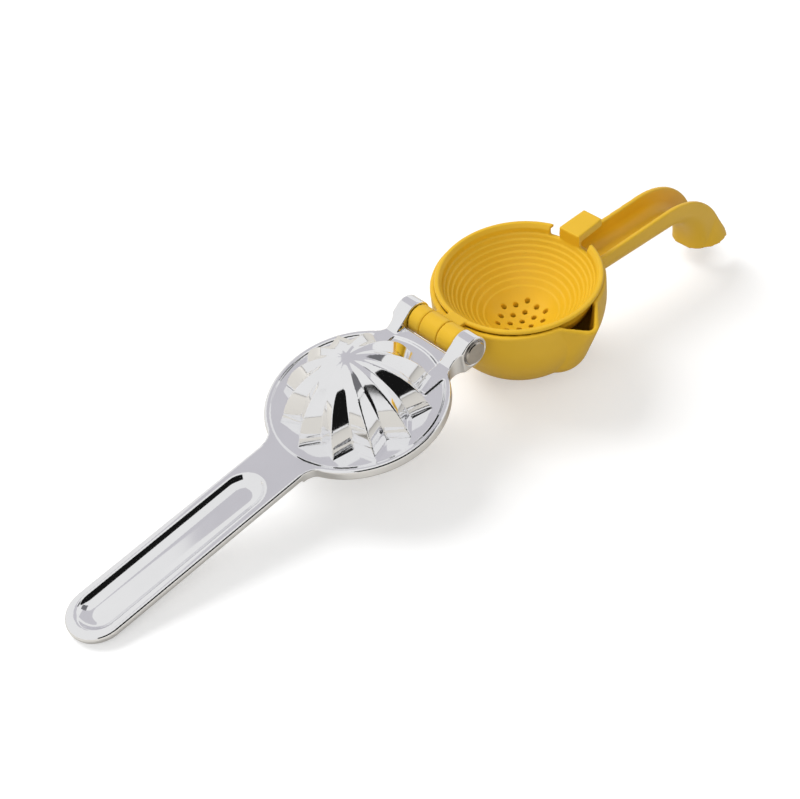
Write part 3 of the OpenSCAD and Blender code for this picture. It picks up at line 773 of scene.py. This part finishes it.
def lamp(name, place, aim, size, power):
    data = bpy.data.lights.new(name, "AREA")
    data.shape, data.size, data.energy = "SQUARE", size, power
    obj = bpy.data.objects.new(name, data)
    obj.location = place
    obj.rotation_mode = "QUATERNION"
    obj.rotation_quaternion = (Vector(aim) - Vector(place)).to_track_quat("-Z", "Y")
    obj.visible_glossy = False
    bpy.context.scene.collection.objects.link(obj)
    return obj


def card(name, place, aim, wide, tall, shade):
    """A studio card: seen only in what the chrome mirrors."""
    bm = bmesh.new()
    bmesh.ops.create_grid(bm, x_segments=1, y_segments=1, size=0.5)
    place = Vector(place)
    look = (Vector(aim) - place).to_track_quat("Z", "Y").to_matrix().to_4x4()
    bmesh.ops.transform(bm, verts=bm.verts,
                        matrix=Matrix.Translation(place) @ look @ Matrix.Diagonal((wide, tall, 1, 1)))
    obj = as_object(name, bm)
    f = Finish(name)
    f.node_out(f.node("ShaderNodeEmission", None, {"Color": (*shade, 1)}))
    obj.data.materials.append(f.material)
    obj.visible_camera = obj.visible_diffuse = obj.visible_shadow = False
    return obj


def set_floor():
    bm = bmesh.new()
    bmesh.ops.create_grid(bm, x_segments=8, y_segments=8, size=6)
    floor = as_object("floor", bm)
    f = Finish("pale_floor")
    seen = f.node("ShaderNodeLightPath", out="Is Camera Ray")
    mirrored = f.node("ShaderNodeLightPath", out="Is Glossy Ray")
    white = f.node("ShaderNodeEmission", None, {"Color": (1, 1, 1, 1), "Strength": seen * 0.40})
    # What the chrome and enamel mirror of the floor is a darker warm grey without the white glow: a
    # painted reflection tone, not the floor's own colour.
    painted_reflection_tone = f.node("ShaderNodeBsdfDiffuse", None, {"Color": (0.62, 0.60, 0.56, 1)})
    cloud = f.noise(3, 2)
    paint = f.node("ShaderNodeBsdfDiffuse", None,
                   {"Color": f.blend(cloud, (0.66, 0.66, 0.66), (0.68, 0.68, 0.68))})
    seen_or_mirrored = f.node("ShaderNodeMixShader", None, {0: mirrored, 1: paint, 2: painted_reflection_tone})
    f.node_out(f.node("ShaderNodeAddShader", None, {0: seen_or_mirrored, 1: white}))
    floor.data.materials.append(f.material)


def set_world():
    world = bpy.data.worlds.new("studio")
    bpy.context.scene.world = world
    world.use_nodes = True
    tree = world.node_tree
    tree.nodes.clear()
    paths = tree.nodes.new("ShaderNodeLightPath")
    white = tree.nodes.new("ShaderNodeMath")
    white.operation = "MAXIMUM"
    tree.links.new(paths.outputs["Is Camera Ray"], white.inputs[0])
    tree.links.new(paths.outputs["Is Glossy Ray"], white.inputs[1])
    mix = tree.nodes.new("ShaderNodeMixShader")
    room = tree.nodes.new("ShaderNodeBackground")
    room.inputs["Strength"].default_value = 0.55
    backdrop = tree.nodes.new("ShaderNodeBackground")
    backdrop.inputs["Strength"].default_value = 1.0
    out = tree.nodes.new("ShaderNodeOutputWorld")
    tree.links.new(white.outputs[0], mix.inputs[0])
    tree.links.new(room.outputs[0], mix.inputs[1])
    tree.links.new(backdrop.outputs[0], mix.inputs[2])
    tree.links.new(mix.outputs[0], out.inputs["Surface"])


def set_lamps():
    lamp("key", (-0.35, 1.3, 1.6), (0, 0, 0), 1.2, 32)
    lamp("fill", (-1.3, -1.0, 1.2), (0, 0, 0), 1.5, 14)


def aside(turned, up, far=1.5):
    """A place seen from the object, so many degrees right of the camera and above the table."""
    around = radians(-42.283 + turned)
    return (sin(around) * cos(radians(up)) * far, -cos(around) * cos(radians(up)) * far,
            sin(radians(up)) * far)


def set_cards():
    black, grey, dusk = (0.008, 0.008, 0.008), (0.56, 0.55, 0.585), (0.16, 0.16, 0.17)
    middle = (0, 0, 0.03)
    card("card_back", aside(175, 58), middle, 1.7, 1.3, grey)
    card("card_right", aside(28, 31), middle, 2.6, 1.5, black)
    card("card_high", aside(84, 66), middle, 0.5, 0.8, dusk)


# ---------------------------------------------------------------- putting it together
bpy.context.scene.view_settings.view_transform = "Standard"
set_camera()
set_floor()
set_world()
set_lamps()
set_cards()

enamel = yellow_enamel()
chrome = bright_chrome()
pin_metal = turned_steel("turned_steel", (0.62, 0.58, 0.53))
ring_metal = turned_steel("spring_steel", (0.5, 0.5, 0.52))

dress(cast("bowl_casting", bowl_shape(), ON_BOWL, 0.6, 5, 0.74), enamel, "bowl_body", "bowl_enamel",
      "bowl")
dress(cast("strainer_cup", strainer_shape(), ON_BOWL, 0.37, 1, 0.56), enamel, "strainer_body",
      "strainer_enamel", "strainer")
dress(cast("press_casting", press_shape(), ON_PRESS, 0.36, 4, 0.55), chrome, "press_body",
      "press_plating", "press_arm")
dress(cast("fluted_dome", fluted_dome(), ON_PRESS, 0.34, 2, 0.68), chrome, "press_body",
      "press_plating", "press_arm")
for node, finish in (("hinge_pin", pin_metal), ("head_washer", ring_metal),
                     ("retaining_ring", ring_metal)):
    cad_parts[node].data.materials.clear()
    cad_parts[node].data.materials.append(finish)
